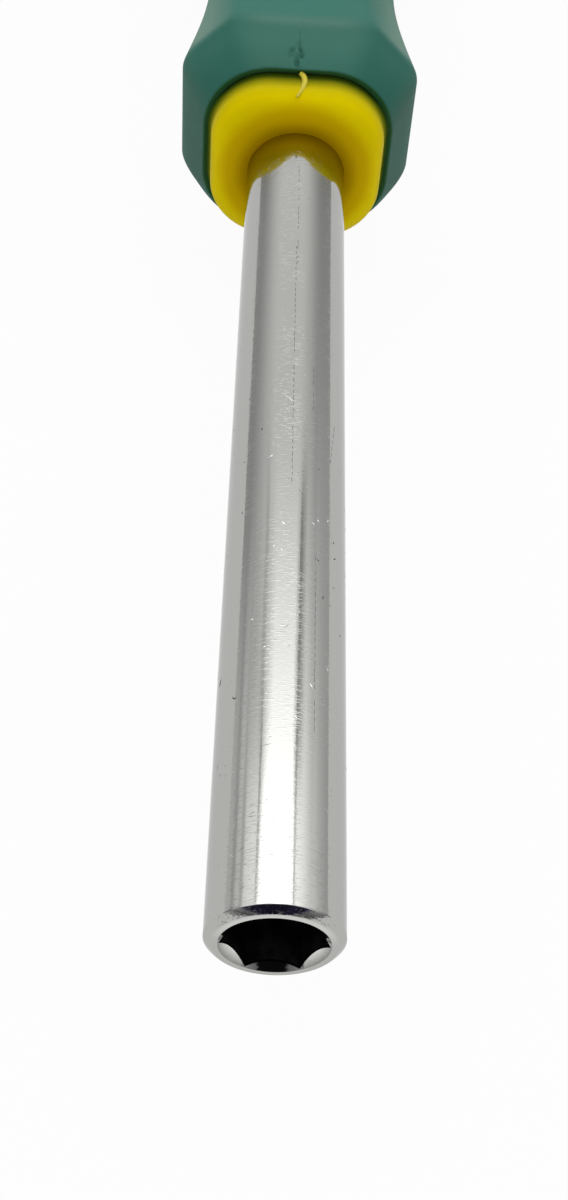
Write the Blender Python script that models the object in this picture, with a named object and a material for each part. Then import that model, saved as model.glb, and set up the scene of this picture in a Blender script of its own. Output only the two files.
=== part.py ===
"""Magnetic bit holder: a chromed steel tube with a hex socket, fixed in a two-colour moulded handle.

Metres, +Z up. The tool lies along Y on the lower facet of its barrel, with its mouth towards -Y.
Places on the handle are measured back from the front face of its collar.
"""

import math

import bmesh
import bpy

# Socket and tube
SOCKET_ACROSS_FLATS = 0.0064
SOCKET_DEPTH = 0.0130
SOCKET_WALL = 0.00105
LEAD_IN_MARGIN = 0.00005
MOUTH_EDGE = 0.0007
SEAT_SHOULDER = 0.00015
SHAFT_EXPOSED = 0.0832
SHAFT_BURIED = 0.0500
SHAFT_END_EDGE = 0.0004
KNURL_FROM = 0.0180
KNURL_LENGTH = 0.0240
KNURL_HEIGHT = 0.0004

# Spring ring that grips the notches of a bit
RING_WIRE = 0.0007
RING_SETBACK = 0.0045
RING_RELIEF = 0.0003
RING_FLOAT = 0.0001
RING_OPENING = math.radians(50)

# Magnet and what stands behind it
MAGNET_LENGTH = 0.0060
MAGNET_RECESS = 0.0002
MAGNET_EDGE = 0.0002
CUP_WALL = 0.0007
CUP_FLOOR = 0.0010
STOP_LENGTH = 0.0100
STOP_EDGE = 0.0003
PLUG_LENGTH = 0.0070
PLUG_EDGE = 0.0004

# Hard collar and core
COLLAR_WIDTH = 0.0169
COLLAR_CORNER = 0.0059
COLLAR_EDGE_ACROSS = 0.0034
COLLAR_EDGE_BACK = 0.0021
CORE_END = 0.0960
CORE_CAVITY_DIAMETER = 0.0110
CORE_WEB = 0.0060

# Soft grip
LIP_AT = 0.0037
SLOT_WIDTH = 0.00085
SLOT_DEPTH = 0.0005
LIP_FLARE = 0.45
GUARD_AT = 0.0094
GUARD_CREST = 0.0012
GUARD_WIDTH = 0.0233
GUARD_RISE = 0.20
GUARD_FALL = -0.17
NECK_FROM = 0.0265
NECK_TO = 0.0330
NECK_WIDTH = 0.0196
BARREL_FROM = 0.0640
BARREL_TO = 0.0840
BARREL_WIDTH = 0.0290
TAIL_AT = 0.0995
TAIL_WIDTH = 0.0240
TAIL_SLOPE = -0.32
TAIL_ROLL = 0.0012
GRIP_CORNER = 0.0024
SLANT_REACH = 1.05
TOP_REACH = 0.89
GRIP_WALL = 0.0024
FLUTE_FROM = 0.0480
FLUTE_TO = 0.0920
FLUTE_DEPTH = 0.0009
FLUTE_HALF_ANGLE = math.radians(19)

# End cap
CAP_STANDOUT = 0.0115
CAP_COLLAR = 0.0010
SPIGOT_LENGTH = 0.0080
SPIGOT_EDGE = 0.0006
HANG_HOLE_DIAMETER = 0.0062
HANG_HOLE_WALL = 0.0034
MARK_DEPTH = 0.0005
MARK_MARGIN = 0.0010

# Gaps that stand for a press fit between metals, and for a moulded or welded seam
PRESS_GAP = 0.00008
SEAM_GAP = 0.00010

# Facets round the axis, and steps along curves
SEGMENTS = 48
EDGE_STEPS = 4
WIRE_STEPS = 36

# Sizes that follow from those above
SOCKET_ACROSS_CORNERS = SOCKET_ACROSS_FLATS / math.cos(math.pi / 6)
SHAFT_RADIUS = SOCKET_ACROSS_CORNERS / 2 + SOCKET_WALL
SHAFT_LENGTH = SHAFT_EXPOSED + SHAFT_BURIED
BORE_RADIUS = SOCKET_ACROSS_FLATS / 2 - SEAT_SHOULDER
CUP_RADIUS = BORE_RADIUS - PRESS_GAP
MAGNET_RADIUS = CUP_RADIUS - CUP_WALL - PRESS_GAP
CUP_LENGTH = MAGNET_LENGTH + PRESS_GAP + CUP_FLOOR
CUP_AT = SOCKET_DEPTH + MAGNET_RECESS
STOP_AT = CUP_AT + CUP_LENGTH + PRESS_GAP
RING_RADIUS = SOCKET_ACROSS_FLATS / 2 + RING_RELIEF + RING_WIRE / 2
GROOVE_RADIUS = RING_RADIUS + RING_WIRE / 2 + RING_FLOAT
GROOVE_HALF_WIDTH = RING_WIRE / 2 + RING_FLOAT
HANDLE_LENGTH = TAIL_AT + CAP_STANDOUT
SPIGOT_RADIUS = CORE_CAVITY_DIAMETER / 2 - SEAM_GAP
CAP_AT = CORE_END + SEAM_GAP
HANG_HOLE_AT = HANDLE_LENGTH - HANG_HOLE_WALL - HANG_HOLE_DIAMETER / 2
AXIS_HEIGHT = BARREL_WIDTH / 2
MOUTH_Y = -(SHAFT_EXPOSED + HANDLE_LENGTH) / 2
COLLAR_Y = MOUTH_Y + SHAFT_EXPOSED


def rounded_polygon(angle, sides, half_width, corner, first_flat=0.0):
    """Distance from the axis to a regular polygon whose corners are rounded to the given radius."""
    half_step = math.pi / sides
    off_flat = abs((angle - first_flat + half_step) % (2 * half_step) - half_step)
    flat_half_length = (half_width - corner) * math.tan(half_step)
    if half_width * math.tan(off_flat) <= flat_half_length:
        return half_width / math.cos(off_flat)
    centre = (half_width - corner) / math.cos(half_step)
    off_corner = half_step - off_flat
    return centre * math.cos(off_corner) + math.sqrt(corner**2 - (centre * math.sin(off_corner)) ** 2)


def faceted(angle, half_width, half_height):
    """Distance from the axis to an octagon with rounded corners, whose slanting facets stand further out."""
    off_flat = abs((angle + math.pi / 4) % (math.pi / 2) - math.pi / 4)
    at_side = abs(math.cos(angle)) > abs(math.sin(angle))
    flat = half_width if at_side else half_height
    slant = SLANT_REACH * half_width
    out = flat - GRIP_CORNER
    aside = math.sqrt(2) * (slant - GRIP_CORNER) - out
    reach = GRIP_CORNER * math.sqrt(0.5)
    if off_flat < math.atan2(aside, flat):
        return flat / math.cos(off_flat)
    if off_flat > math.atan2(aside + reach, out + reach):
        return slant / math.cos(math.pi / 4 - off_flat)
    centre = math.hypot(out, aside)
    off_corner = off_flat - math.atan2(aside, out)
    return centre * math.cos(off_corner) + math.sqrt(GRIP_CORNER**2 - (centre * math.sin(off_corner)) ** 2)


def socket_radius(angle):
    return rounded_polygon(angle, 6, SOCKET_ACROSS_FLATS / 2, 0.0, math.pi / 6)


def ring(at, radius):
    """Points round the Y axis. Both the place and the radius may be a number or a function of the angle."""
    points = []
    for i in range(SEGMENTS):
        angle = 2 * math.pi * i / SEGMENTS
        r = radius(angle) if callable(radius) else radius
        y = at(angle) if callable(at) else at
        points.append((r * math.cos(angle), y, r * math.sin(angle)))
    return points


def smooth_step(low, high, value):
    share = min(max((value - low) / (high - low), 0.0), 1.0)
    return share * share * (3 - 2 * share)


def finish(name, colour, roughness, metallic=0.0):
    material = bpy.data.materials.new(name)
    material.use_nodes = True
    shader = material.node_tree.nodes["Principled BSDF"]
    shader.inputs["Base Color"].default_value = (*colour, 1.0)
    shader.inputs["Roughness"].default_value = roughness
    shader.inputs["Metallic"].default_value = metallic
    return material


def place(name, data, material, y):
    piece = bpy.data.objects.new(name, data)
    piece.data.materials.append(material)
    piece.parent = tool_axis
    piece.location.y = y
    bpy.context.collection.objects.link(piece)
    return piece


def skin(name, rings, looped=False):
    """A closed mesh through a chain of rings: capped at both ends, or looped back to the first ring."""
    shape = bmesh.new()
    loops = [[shape.verts.new(point) for point in points] for points in rings]
    pairs = list(zip(loops, loops[1:]))
    if looped:
        pairs.append((loops[-1], loops[0]))
    else:
        shape.faces.new(loops[0])
        shape.faces.new(loops[-1])
    for near, far in pairs:
        for i in range(SEGMENTS):
            j = (i + 1) % SEGMENTS
            # The split runs the same way whichever way the chain runs, so facing walls stay parallel.
            front, back = (near, far) if near[i].co.y <= far[i].co.y else (far, near)
            shape.faces.new((front[i], front[j], back[j]))
            shape.faces.new((front[i], back[j], back[i]))
    bmesh.ops.recalc_face_normals(shape, faces=shape.faces)
    mesh = bpy.data.meshes.new(name)
    shape.to_mesh(mesh)
    shape.free()
    mesh.shade_smooth()
    mesh.set_sharp_from_angle(angle=math.radians(35))
    return mesh


def rod_rings(start, end, radius, edge):
    """A round rod with both end edges chamfered."""
    return [
        ring(start, radius - edge),
        ring(start + edge, radius),
        ring(end - edge, radius),
        ring(end, radius - edge),
    ]


# Tube: rounded mouth, straight barrel, knurled stretch that keys into the core
def knurl_radius(angle):
    tooth = round(angle * SEGMENTS / (2 * math.pi)) % 2
    return SHAFT_RADIUS + KNURL_HEIGHT * tooth


def shaft_outside():
    rings = []
    for i in range(EDGE_STEPS + 1):
        swing = math.pi / 2 * i / EDGE_STEPS
        at = MOUTH_EDGE * (1 - math.sin(swing))
        rings.append(ring(at, SHAFT_RADIUS - MOUTH_EDGE * (1 - math.cos(swing))))
    rings.reverse()
    knurl_at = SHAFT_EXPOSED + KNURL_FROM
    rings.append(ring(knurl_at, SHAFT_RADIUS))
    rings.append(ring(knurl_at + KNURL_HEIGHT, knurl_radius))
    rings.append(ring(knurl_at + KNURL_LENGTH - KNURL_HEIGHT, knurl_radius))
    rings.append(ring(knurl_at + KNURL_LENGTH, SHAFT_RADIUS))
    rings.append(ring(SHAFT_LENGTH - SHAFT_END_EDGE, SHAFT_RADIUS))
    rings.append(ring(SHAFT_LENGTH, SHAFT_RADIUS - SHAFT_END_EDGE))
    return rings


# Hex socket: bored, broached, grooved for the spring ring, and opened by a 45 degree lead-in
def shaft_inside():
    lead_in_radius = SOCKET_ACROSS_CORNERS / 2 + LEAD_IN_MARGIN
    groove_back = RING_SETBACK + GROOVE_HALF_WIDTH
    groove_front = RING_SETBACK - GROOVE_HALF_WIDTH
    return [
        ring(SHAFT_LENGTH, BORE_RADIUS),
        ring(SOCKET_DEPTH, BORE_RADIUS),
        ring(SOCKET_DEPTH, socket_radius),
        ring(groove_back, socket_radius),
        ring(groove_back, GROOVE_RADIUS),
        ring(groove_front, GROOVE_RADIUS),
        ring(groove_front, socket_radius),
        ring(lambda angle: lead_in_radius - socket_radius(angle), socket_radius),
        ring(0.0, lead_in_radius),
    ]


# Spring ring: round wire bent to an open circle
def spring_ring():
    curve = bpy.data.curves.new("retaining_ring", "CURVE")
    curve.dimensions = "3D"
    curve.bevel_depth = RING_WIRE / 2
    curve.bevel_resolution = 2
    curve.use_fill_caps = True
    wire = curve.splines.new("POLY")
    wire.points.add(WIRE_STEPS)
    swept = 2 * math.pi - RING_OPENING
    for i, point in enumerate(wire.points):
        angle = math.pi / 2 + RING_OPENING / 2 + swept * i / WIRE_STEPS
        point.co = (RING_RADIUS * math.cos(angle), 0.0, RING_RADIUS * math.sin(angle), 1.0)
    return curve


# Cup: turned brass with a blind bore that takes the magnet
def cup_rings():
    return [
        ring(CUP_LENGTH - CUP_FLOOR, MAGNET_RADIUS + PRESS_GAP),
        ring(0.0, MAGNET_RADIUS + PRESS_GAP),
        ring(0.0, CUP_RADIUS),
        ring(CUP_LENGTH, CUP_RADIUS),
    ]


# Grip outside: knots of place, half width and slope, joined by cubic curves
def grip_knots():
    return [
        (LIP_AT, COLLAR_WIDTH / 2 + SLOT_WIDTH, LIP_FLARE),
        (GUARD_AT, GUARD_WIDTH / 2, GUARD_RISE),
        (GUARD_AT + GUARD_CREST, GUARD_WIDTH / 2, GUARD_FALL),
        (NECK_FROM, NECK_WIDTH / 2, 0.0),
        (NECK_TO, NECK_WIDTH / 2, 0.0),
        (BARREL_FROM, BARREL_WIDTH / 2, 0.0),
        (BARREL_TO, BARREL_WIDTH / 2, 0.0),
        (TAIL_AT, TAIL_WIDTH / 2, TAIL_SLOPE),
    ]


STEPS_BETWEEN_KNOTS = (6, 2, 8, 2, 8, 6, 6)


def grip_stations():
    """Places along the grip, closer together where its outline turns."""
    knots = grip_knots()
    stations = [knots[0][0]]
    for start, end, steps in zip(knots, knots[1:], STEPS_BETWEEN_KNOTS):
        stations += [start[0] + (end[0] - start[0]) * (i + 1) / steps for i in range(steps)]
    return stations


def grip_half_width(at):
    knots = grip_knots()
    for (a, low, rise_a), (b, high, rise_b) in zip(knots, knots[1:]):
        if at <= b:
            break
    t = min(max((at - a) / (b - a), 0.0), 1.0)
    ease = t * t * (3 - 2 * t)
    bends = rise_a * t * (1 - t) ** 2 - rise_b * t * t * (1 - t)
    return low + (high - low) * ease + bends * (b - a)


def flute_cut(at, angle):
    """Depth of the finger flutes: a shallow scoop in each slanting facet of the barrel."""
    if not FLUTE_FROM < at < FLUTE_TO:
        return 0.0
    off_centre = abs((angle % (math.pi / 2)) - math.pi / 4)
    across = max(0.0, 1 - (off_centre / FLUTE_HALF_ANGLE) ** 2)
    along = math.sin(math.pi * (at - FLUTE_FROM) / (FLUTE_TO - FLUTE_FROM))
    return FLUTE_DEPTH * across**2 * along


def collar_radius(angle, outset=0.0):
    return rounded_polygon(angle, 4, COLLAR_WIDTH / 2 + outset, COLLAR_CORNER + outset)


def grip_radius(at, angle):
    """Outside of the grip: the collar's rounded square at the lip, an octagon from the guard back."""
    half_width = grip_half_width(at)
    square = rounded_polygon(angle, 4, half_width, COLLAR_CORNER + SLOT_WIDTH)
    share = smooth_step(LIP_AT, GUARD_AT, at)
    half_height = half_width * (TOP_REACH + (1 - TOP_REACH) * smooth_step(NECK_TO, BARREL_FROM, at))
    octagon = faceted(angle, half_width, half_height)
    return square + (octagon - square) * share - flute_cut(at, angle)


def core_radius(at, angle, outset=0.0):
    """Outside of the core: the collar, then one grip wall inside the grip."""
    share = smooth_step(LIP_AT + SLOT_DEPTH, GUARD_AT, at)
    collar = collar_radius(angle)
    under_grip = grip_radius(at, angle) - GRIP_WALL
    return collar + (under_grip - collar) * share + outset


def buried_stations():
    """Places along the seam between core and grip, every other one of the grip's own."""
    slot_end = LIP_AT + SLOT_DEPTH
    between = [at for at in grip_stations()[::2] if slot_end < at < CORE_END]
    return [slot_end] + between + [CORE_END]


def on_grip(at):
    return ring(at, lambda angle: grip_radius(at, angle))


def on_core(at, outset=0.0):
    return ring(at, lambda angle: core_radius(at, angle, outset))


# Grip: overmoulded sleeve with a slot round the collar and a rolled tail
def grip_rings():
    rings = [on_grip(at) for at in grip_stations()]
    for i in range(1, EDGE_STEPS + 1):
        swing = math.pi * i / EDGE_STEPS

        def rolled(angle, swing=swing):
            outer = grip_radius(TAIL_AT, angle)
            inner = core_radius(TAIL_AT, angle, SEAM_GAP)
            return (outer + inner) / 2 + (outer - inner) / 2 * math.cos(swing)

        rings.append(ring(TAIL_AT + TAIL_ROLL * math.sin(swing), rolled))
    inside = [on_core(at, SEAM_GAP) for at in buried_stations()]
    return rings + inside[::-1]


# Core: collar with a rounded front edge, blind bore for the tube, cavity for the cap's spigot
def core_rings():
    bore = SHAFT_RADIUS + PRESS_GAP
    knurl_end = KNURL_FROM + KNURL_LENGTH

    def knurl_bore(angle):
        return knurl_radius(angle) + PRESS_GAP

    rings = [
        ring(SHAFT_BURIED + PRESS_GAP, bore),
        ring(knurl_end + PRESS_GAP, bore),
        ring(knurl_end - KNURL_HEIGHT + PRESS_GAP, knurl_bore),
        ring(KNURL_FROM + KNURL_HEIGHT - PRESS_GAP, knurl_bore),
        ring(KNURL_FROM - PRESS_GAP, bore),
        ring(0.0, bore),
    ]
    for i in range(EDGE_STEPS + 1):
        swing = math.pi / 2 * i / EDGE_STEPS
        drawn_in = COLLAR_EDGE_ACROSS * (1 - math.sin(swing))
        at = COLLAR_EDGE_BACK * (1 - math.cos(swing))
        rings.append(ring(at, lambda angle, drawn_in=drawn_in: collar_radius(angle, -drawn_in)))
    rings += [on_core(at) for at in buried_stations()]
    cavity = CORE_CAVITY_DIAMETER / 2
    rings.append(ring(CORE_END, cavity))
    rings.append(ring(SHAFT_BURIED + CORE_WEB, cavity))
    return rings


# Cap: spigot in the core, rim under the grip's tail, dome with a hex mark sunk in its end
def cap_rings():
    tip = CAP_AT - SPIGOT_LENGTH
    rings = [
        ring(tip, SPIGOT_RADIUS - SPIGOT_EDGE),
        ring(tip + SPIGOT_EDGE, SPIGOT_RADIUS),
        ring(CAP_AT, SPIGOT_RADIUS),
        on_core(CAP_AT),
        on_core(TAIL_AT),
    ]
    dome_at = TAIL_AT + CAP_COLLAR
    dome_length = HANDLE_LENGTH - dome_at
    end_radius = SOCKET_ACROSS_CORNERS / 2 + MARK_MARGIN
    dome_steps = 2 * EDGE_STEPS
    for i in range(dome_steps + 1):
        swing = math.pi / 2 * i / dome_steps

        def domed(angle, swing=swing):
            base = core_radius(TAIL_AT, angle)
            return end_radius + (base - end_radius) * math.cos(swing)

        rings.append(ring(dome_at + dome_length * math.sin(swing), domed))
    rings.append(ring(HANDLE_LENGTH, socket_radius))
    rings.append(ring(HANDLE_LENGTH - MARK_DEPTH, socket_radius))
    return rings


def hang_hole_cutter():
    shape = bmesh.new()
    bmesh.ops.create_cone(
        shape,
        cap_ends=True,
        segments=SEGMENTS // 2,
        radius1=HANG_HOLE_DIAMETER / 2,
        radius2=HANG_HOLE_DIAMETER / 2,
        depth=2 * BARREL_WIDTH,
    )
    mesh = bpy.data.meshes.new("hang_hole_cutter")
    shape.to_mesh(mesh)
    shape.free()
    cutter = bpy.data.objects.new("hang_hole_cutter", mesh)
    cutter.parent = tool_axis
    cutter.location.y = COLLAR_Y + HANG_HOLE_AT
    cutter.rotation_euler.y = math.pi / 2
    cutter.hide_render = True
    cutter.display_type = "WIRE"
    bpy.context.collection.objects.link(cutter)
    return cutter


for existing in list(bpy.data.objects):
    bpy.data.objects.remove(existing, do_unlink=True)

# Finishes
chrome = finish("chrome_plate", (0.72, 0.72, 0.71), 0.10, 1.0)
spring_steel = finish("spring_steel", (0.42, 0.42, 0.43), 0.30, 1.0)
nickel = finish("nickel_plate", (0.60, 0.58, 0.54), 0.22, 1.0)
brass = finish("turned_brass", (0.70, 0.50, 0.20), 0.28, 1.0)
stop_steel = finish("plain_steel", (0.45, 0.45, 0.46), 0.38, 1.0)
plug_nylon = finish("plug_nylon", (0.08, 0.08, 0.08), 0.55)
yellow = finish("yellow_hard_plastic", (0.62, 0.51, 0.003), 0.35)
cap_yellow = finish("yellow_cap_plastic", (0.62, 0.51, 0.003), 0.35)
green = finish("green_soft_plastic", (0.045, 0.17, 0.13), 0.62)

# The axis that carries every piece
tool_axis = bpy.data.objects.new("tool_axis", None)
tool_axis.location.z = AXIS_HEIGHT
bpy.context.collection.objects.link(tool_axis)

# Metal pieces
tube = skin("shaft_tube", shaft_outside() + shaft_inside(), looped=True)
place("shaft_tube", tube, chrome, MOUTH_Y)
place("retaining_ring", spring_ring(), spring_steel, MOUTH_Y + RING_SETBACK)
magnet = skin("magnet", rod_rings(0.0, MAGNET_LENGTH, MAGNET_RADIUS, MAGNET_EDGE))
place("magnet", magnet, nickel, MOUTH_Y + CUP_AT)
place("magnet_cup", skin("magnet_cup", cup_rings()), brass, MOUTH_Y + CUP_AT)
stop = skin("thrust_pin", rod_rings(0.0, STOP_LENGTH, CUP_RADIUS, STOP_EDGE))
place("thrust_pin", stop, stop_steel, MOUTH_Y + STOP_AT)
plug = skin("tube_plug", rod_rings(-PLUG_LENGTH, 0.0, CUP_RADIUS, PLUG_EDGE))
place("tube_plug", plug, plug_nylon, MOUTH_Y + SHAFT_LENGTH)

# Moulded pieces
place("handle_core", skin("handle_core", core_rings()), yellow, COLLAR_Y)
place("grip_sleeve", skin("grip_sleeve", grip_rings(), looped=True), green, COLLAR_Y)
cap = place("end_cap", skin("end_cap", cap_rings()), cap_yellow, COLLAR_Y)
hole = cap.modifiers.new("hang_hole", "BOOLEAN")
hole.operation = "DIFFERENCE"
hole.solver = "EXACT"
hole.object = hang_hole_cutter()
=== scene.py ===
import math

import bpy
import numpy as np
from mathutils import Matrix, Vector


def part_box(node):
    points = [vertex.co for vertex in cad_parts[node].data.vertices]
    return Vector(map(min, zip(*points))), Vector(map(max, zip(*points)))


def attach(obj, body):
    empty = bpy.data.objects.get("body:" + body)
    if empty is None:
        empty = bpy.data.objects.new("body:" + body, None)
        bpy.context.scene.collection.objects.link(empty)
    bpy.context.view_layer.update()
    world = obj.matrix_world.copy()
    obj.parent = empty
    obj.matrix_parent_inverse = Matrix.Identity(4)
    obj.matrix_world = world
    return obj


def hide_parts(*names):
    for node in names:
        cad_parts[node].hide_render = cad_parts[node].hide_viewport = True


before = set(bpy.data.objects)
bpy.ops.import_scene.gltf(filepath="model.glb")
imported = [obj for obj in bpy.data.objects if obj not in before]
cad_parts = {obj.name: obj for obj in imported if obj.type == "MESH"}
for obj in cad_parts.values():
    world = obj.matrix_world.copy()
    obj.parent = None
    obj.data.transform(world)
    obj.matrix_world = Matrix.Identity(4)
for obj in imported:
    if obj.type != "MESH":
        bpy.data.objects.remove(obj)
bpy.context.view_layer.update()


# The tube that takes the bit is drawn steel, polished and chrome plated, with a hexagon broached into its
# mouth and opened by a 45 degree lead-in. The plating doesn't reach into the socket, painted near black as
# shade.
# Its rear end is pressed into the handle, where a straight knurl keeps it from turning.
AXIS_Z = sum(corner.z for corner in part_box("grip_sleeve")) / 2
MOUTH_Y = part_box("shaft_tube")[0].y
COLLAR_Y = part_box("handle_core")[0].y
TUBE_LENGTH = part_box("shaft_tube")[1].y - MOUTH_Y
TUBE_EXPOSED = COLLAR_Y - MOUTH_Y
HEX_ACROSS_FLATS = 0.0064
HEX_ACROSS_CORNERS = HEX_ACROSS_FLATS / math.cos(math.pi / 6)
TUBE_WALL = 0.00105
TUBE_RADIUS = HEX_ACROSS_CORNERS / 2 + TUBE_WALL
LEAD_IN_MARGIN = 0.00005
LEAD_IN_RADIUS = HEX_ACROSS_CORNERS / 2 + LEAD_IN_MARGIN
LEAD_IN_EDGE = 0.00006
PLATED_INSIDE = 0.00015
MOUTH_BEVEL = 0.0005
BEVEL_STARTS = math.radians(34)
BEVEL_ENDS = math.radians(52)
BEVEL_EDGE = 0.00005
BEVEL_RUN_OUT = 0.0003
SOCKET_DEPTH = 0.0130
BORE_STEP = 0.00015
BORE_RADIUS = HEX_ACROSS_FLATS / 2 - BORE_STEP
RING_WIRE = 0.0007
RING_SETBACK = 0.0045
RING_OFF_FLATS = 0.0003
RING_RADIUS = HEX_ACROSS_FLATS / 2 + RING_OFF_FLATS + RING_WIRE / 2
GROOVE_CLEARANCE = 0.0001
GROOVE_RADIUS = RING_RADIUS + RING_WIRE / 2 + GROOVE_CLEARANCE
GROOVE_HALF_WIDTH = RING_WIRE / 2 + GROOVE_CLEARANCE
KNURL_SETBACK = 0.0180
KNURL_LENGTH = 0.0240
KNURL_FROM = TUBE_EXPOSED + KNURL_SETBACK
KNURL_TO = KNURL_FROM + KNURL_LENGTH
KNURL_HEIGHT = 0.0004
KNURL_TEETH = 24
TUBE_END_EDGE = 0.0004
TUBE_SIDES = 192
TUBE_STEPS = 70
SHARP_EDGE = math.radians(32)
CHROME = (0.432, 0.436, 0.416)
CHROME_PAINTED_HIGHLIGHT = (0.60, 0.605, 0.58)
CHROME_PAINTED_GREY = (0.24, 0.24, 0.23)
CHROME_PAINTED_COLLAR_REFLECTION = (0.585, 0.545, 0.25)
CHROME_STAINED = (0.08, 0.08, 0.08)
CHROME_PAINTED_DIM = (0.36, 0.36, 0.35)
CHROME_PAINTED_BLACK = (0.012, 0.012, 0.013)
# Where the plating's looks fade in, from nothing to full: places along the tool, across it, or off its axis.
CHAFED_ALONG = (MOUTH_Y + 0.00030, MOUTH_Y + 0.00005)
CHAFED_LEFT = (-0.0006, -0.0022)
BEVEL_BACK = (MOUTH_Y + 0.0006, MOUTH_Y + 0.0004)
BEVEL_FRONT = (MOUTH_Y + 0.00001, MOUTH_Y + 0.00004)
BEVEL_TOP = (0.0015, 0.0030)
RIM_INWARD = (0.0044, 0.0040)
RIM_TOP = (0.0, 0.0030)
COLLAR_REFLECTION_ALONG = (COLLAR_Y - 0.0034, COLLAR_Y - 0.0010)
LEAD_IN_BOTTOM = (-0.00300, -0.00318)
BLACK_INWARD = (0.00145, 0.00120)
DULL_OUTWARD = (0.00325, 0.00374)
METAL_SHADER = {"Metallic": 1.0}
CHROME_SHADER = {**METAL_SHADER, "Specular Tint": (0.80, 0.80, 0.80, 1.0)}


def polygon_radius(angles, sides, half_width, corner=0.0, first_flat=0.0):
    """Distance from the axis to a regular polygon, at each angle, with its corners rounded."""
    half_step = math.pi / sides
    off_flat = np.abs((angles - first_flat + half_step) % (2 * half_step) - half_step)
    on_flat = half_width / np.cos(off_flat)
    if not corner:
        return on_flat
    centre = (half_width - corner) / math.cos(half_step)
    off_corner = half_step - off_flat
    reach = np.sqrt(np.maximum(corner**2 - (centre * np.sin(off_corner)) ** 2, 0.0))
    flat_half_length = (half_width - corner) * math.tan(half_step)
    beside_flat = half_width * np.tan(off_flat) > flat_half_length
    return np.where(beside_flat, centre * np.cos(off_corner) + reach, on_flat)


def socket_hexagon(angles):
    return polygon_radius(angles, 6, HEX_ACROSS_FLATS / 2, first_flat=math.pi / 6)


def ring(angles, y, radius):
    """Points round the tool's axis. The place and the radius are one number or one for each angle."""
    x = radius * np.cos(angles)
    z = AXIS_Z + radius * np.sin(angles)
    return np.stack([x, np.broadcast_to(y, angles.shape), z], axis=1)


def ring_chain(angles, front):
    """An empty chain of rings, and a function that adds one so far behind the front."""
    rings = []

    def add(at, radius):
        rings.append(ring(angles, front + at, radius))

    return rings, add


def full_turn(steps):
    return np.linspace(0, 2 * math.pi, steps, endpoint=False)


def quarter_round(steps):
    return np.linspace(0, math.pi / 2, steps + 1)


def eased_corner(start, corner, end, steps=5):
    """Points of a small curve that eases a corner of an outline."""
    start, corner, end = np.array(start), np.array(corner), np.array(end)
    return [(1 - t) ** 2 * start + 2 * t * (1 - t) * corner + t * t * end for t in np.linspace(0, 1, steps)]


def new_object(name, data):
    made = bpy.data.objects.new(name, data)
    bpy.context.collection.objects.link(made)
    return made


def skin(name, rings, materials, bands=None, looped=False):
    """A closed mesh object through a chain of rings, that runs back along the outside and forward inside."""
    count = len(rings[0])
    first = np.arange(count)
    second = np.roll(first, -1)
    last_ring = len(rings) - 1
    pairs = [(k, k + 1) for k in range(last_ring)] + [(last_ring, 0)] * looped
    faces = []
    for near, far in pairs:
        quads = [near * count + first, far * count + first, far * count + second, near * count + second]
        faces += np.stack(quads, axis=1).tolist()
    if not looped:
        faces.append(first.tolist())
        faces.append((last_ring * count + first)[::-1].tolist())
    mesh = bpy.data.meshes.new(name)
    mesh.from_pydata(np.concatenate(rings).tolist(), [], faces)
    for material in materials:
        mesh.materials.append(material)
    if bands:
        mesh.polygons.foreach_set("material_index", np.repeat(bands, count).astype(np.int32))
    mesh.shade_smooth()
    mesh.set_sharp_from_angle(angle=SHARP_EDGE)
    return new_object(name, mesh)


def wire(tree, kind, feeds=None, **settings):
    """Outputs of a new node, whose inputs are each fed by a value, by an output or by a list of outputs."""
    made = tree.nodes.new(kind)
    for name, value in settings.items():
        setattr(made, name, value)
    for socket, feed in (feeds or {}).items():
        if isinstance(feed, bpy.types.NodeSocket):
            feed = [feed]
        if isinstance(feed, list):
            for output in feed:
                tree.links.new(output, made.inputs[socket])
        else:
            made.inputs[socket].default_value = feed
    return made.outputs


def calc(operation, *values):
    """A sum in the tree of the sockets that feed it."""
    tree = next(value.id_data for value in values if isinstance(value, bpy.types.NodeSocket))
    return wire(tree, "ShaderNodeMath", dict(enumerate(values)), operation=operation)[0]


def times(product, *factors):
    for factor in factors:
        product = calc("MULTIPLY", product, factor)
    return product


def times_plus(value, factor, addend):
    return calc("MULTIPLY_ADD", value, factor, addend)


def ramp(value, low, high, out_low=0.0, out_high=1.0, shape="SMOOTHSTEP"):
    """A step of a value from one range to another, smooth or straight."""
    feeds = {0: value, 1: low, 2: high, 3: out_low, 4: out_high}
    return wire(value.id_data, "ShaderNodeMapRange", feeds, interpolation_type=shape)[0]


def surface_points(tree, scale):
    """Object coordinates, multiplied along each axis."""
    coordinates = wire(tree, "ShaderNodeTexCoord")["Object"]
    feeds = {0: coordinates, 1: scale}
    return wire(tree, "ShaderNodeVectorMath", feeds, operation="MULTIPLY")[0]


def grain(tree, scale, detail=2.0):
    """Noise in which one grain is one over the scale, along each axis, in metres."""
    feeds = {"Vector": surface_points(tree, scale), "Scale": 1.0, "Detail": detail}
    return wire(tree, "ShaderNodeTexNoise", feeds)["Fac"]


def specks(tree, spacing, size, share):
    """Small round specks, one to a cell of that spacing, in that share of the cells."""
    cells = surface_points(tree, (1 / spacing,) * 3)
    spots = wire(tree, "ShaderNodeTexVoronoi", {"Vector": cells, "Scale": 1.0})
    near = ramp(spots["Distance"], size / spacing, 0.4 * size / spacing)
    pick = wire(tree, "ShaderNodeSeparateColor", {0: spots["Color"]})[0]
    return times(near, calc("LESS_THAN", pick, share))


def from_axis(tree):
    """A point's distance from the tool's axis, its height above it, and the point."""
    place = wire(tree, "ShaderNodeSeparateXYZ", {0: surface_points(tree, (1.0, 1.0, 1.0))})
    height = calc("SUBTRACT", place[2], AXIS_Z)
    squares = times_plus(place[0], place[0], times(height, height))
    return calc("SQRT", squares), height, place


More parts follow.
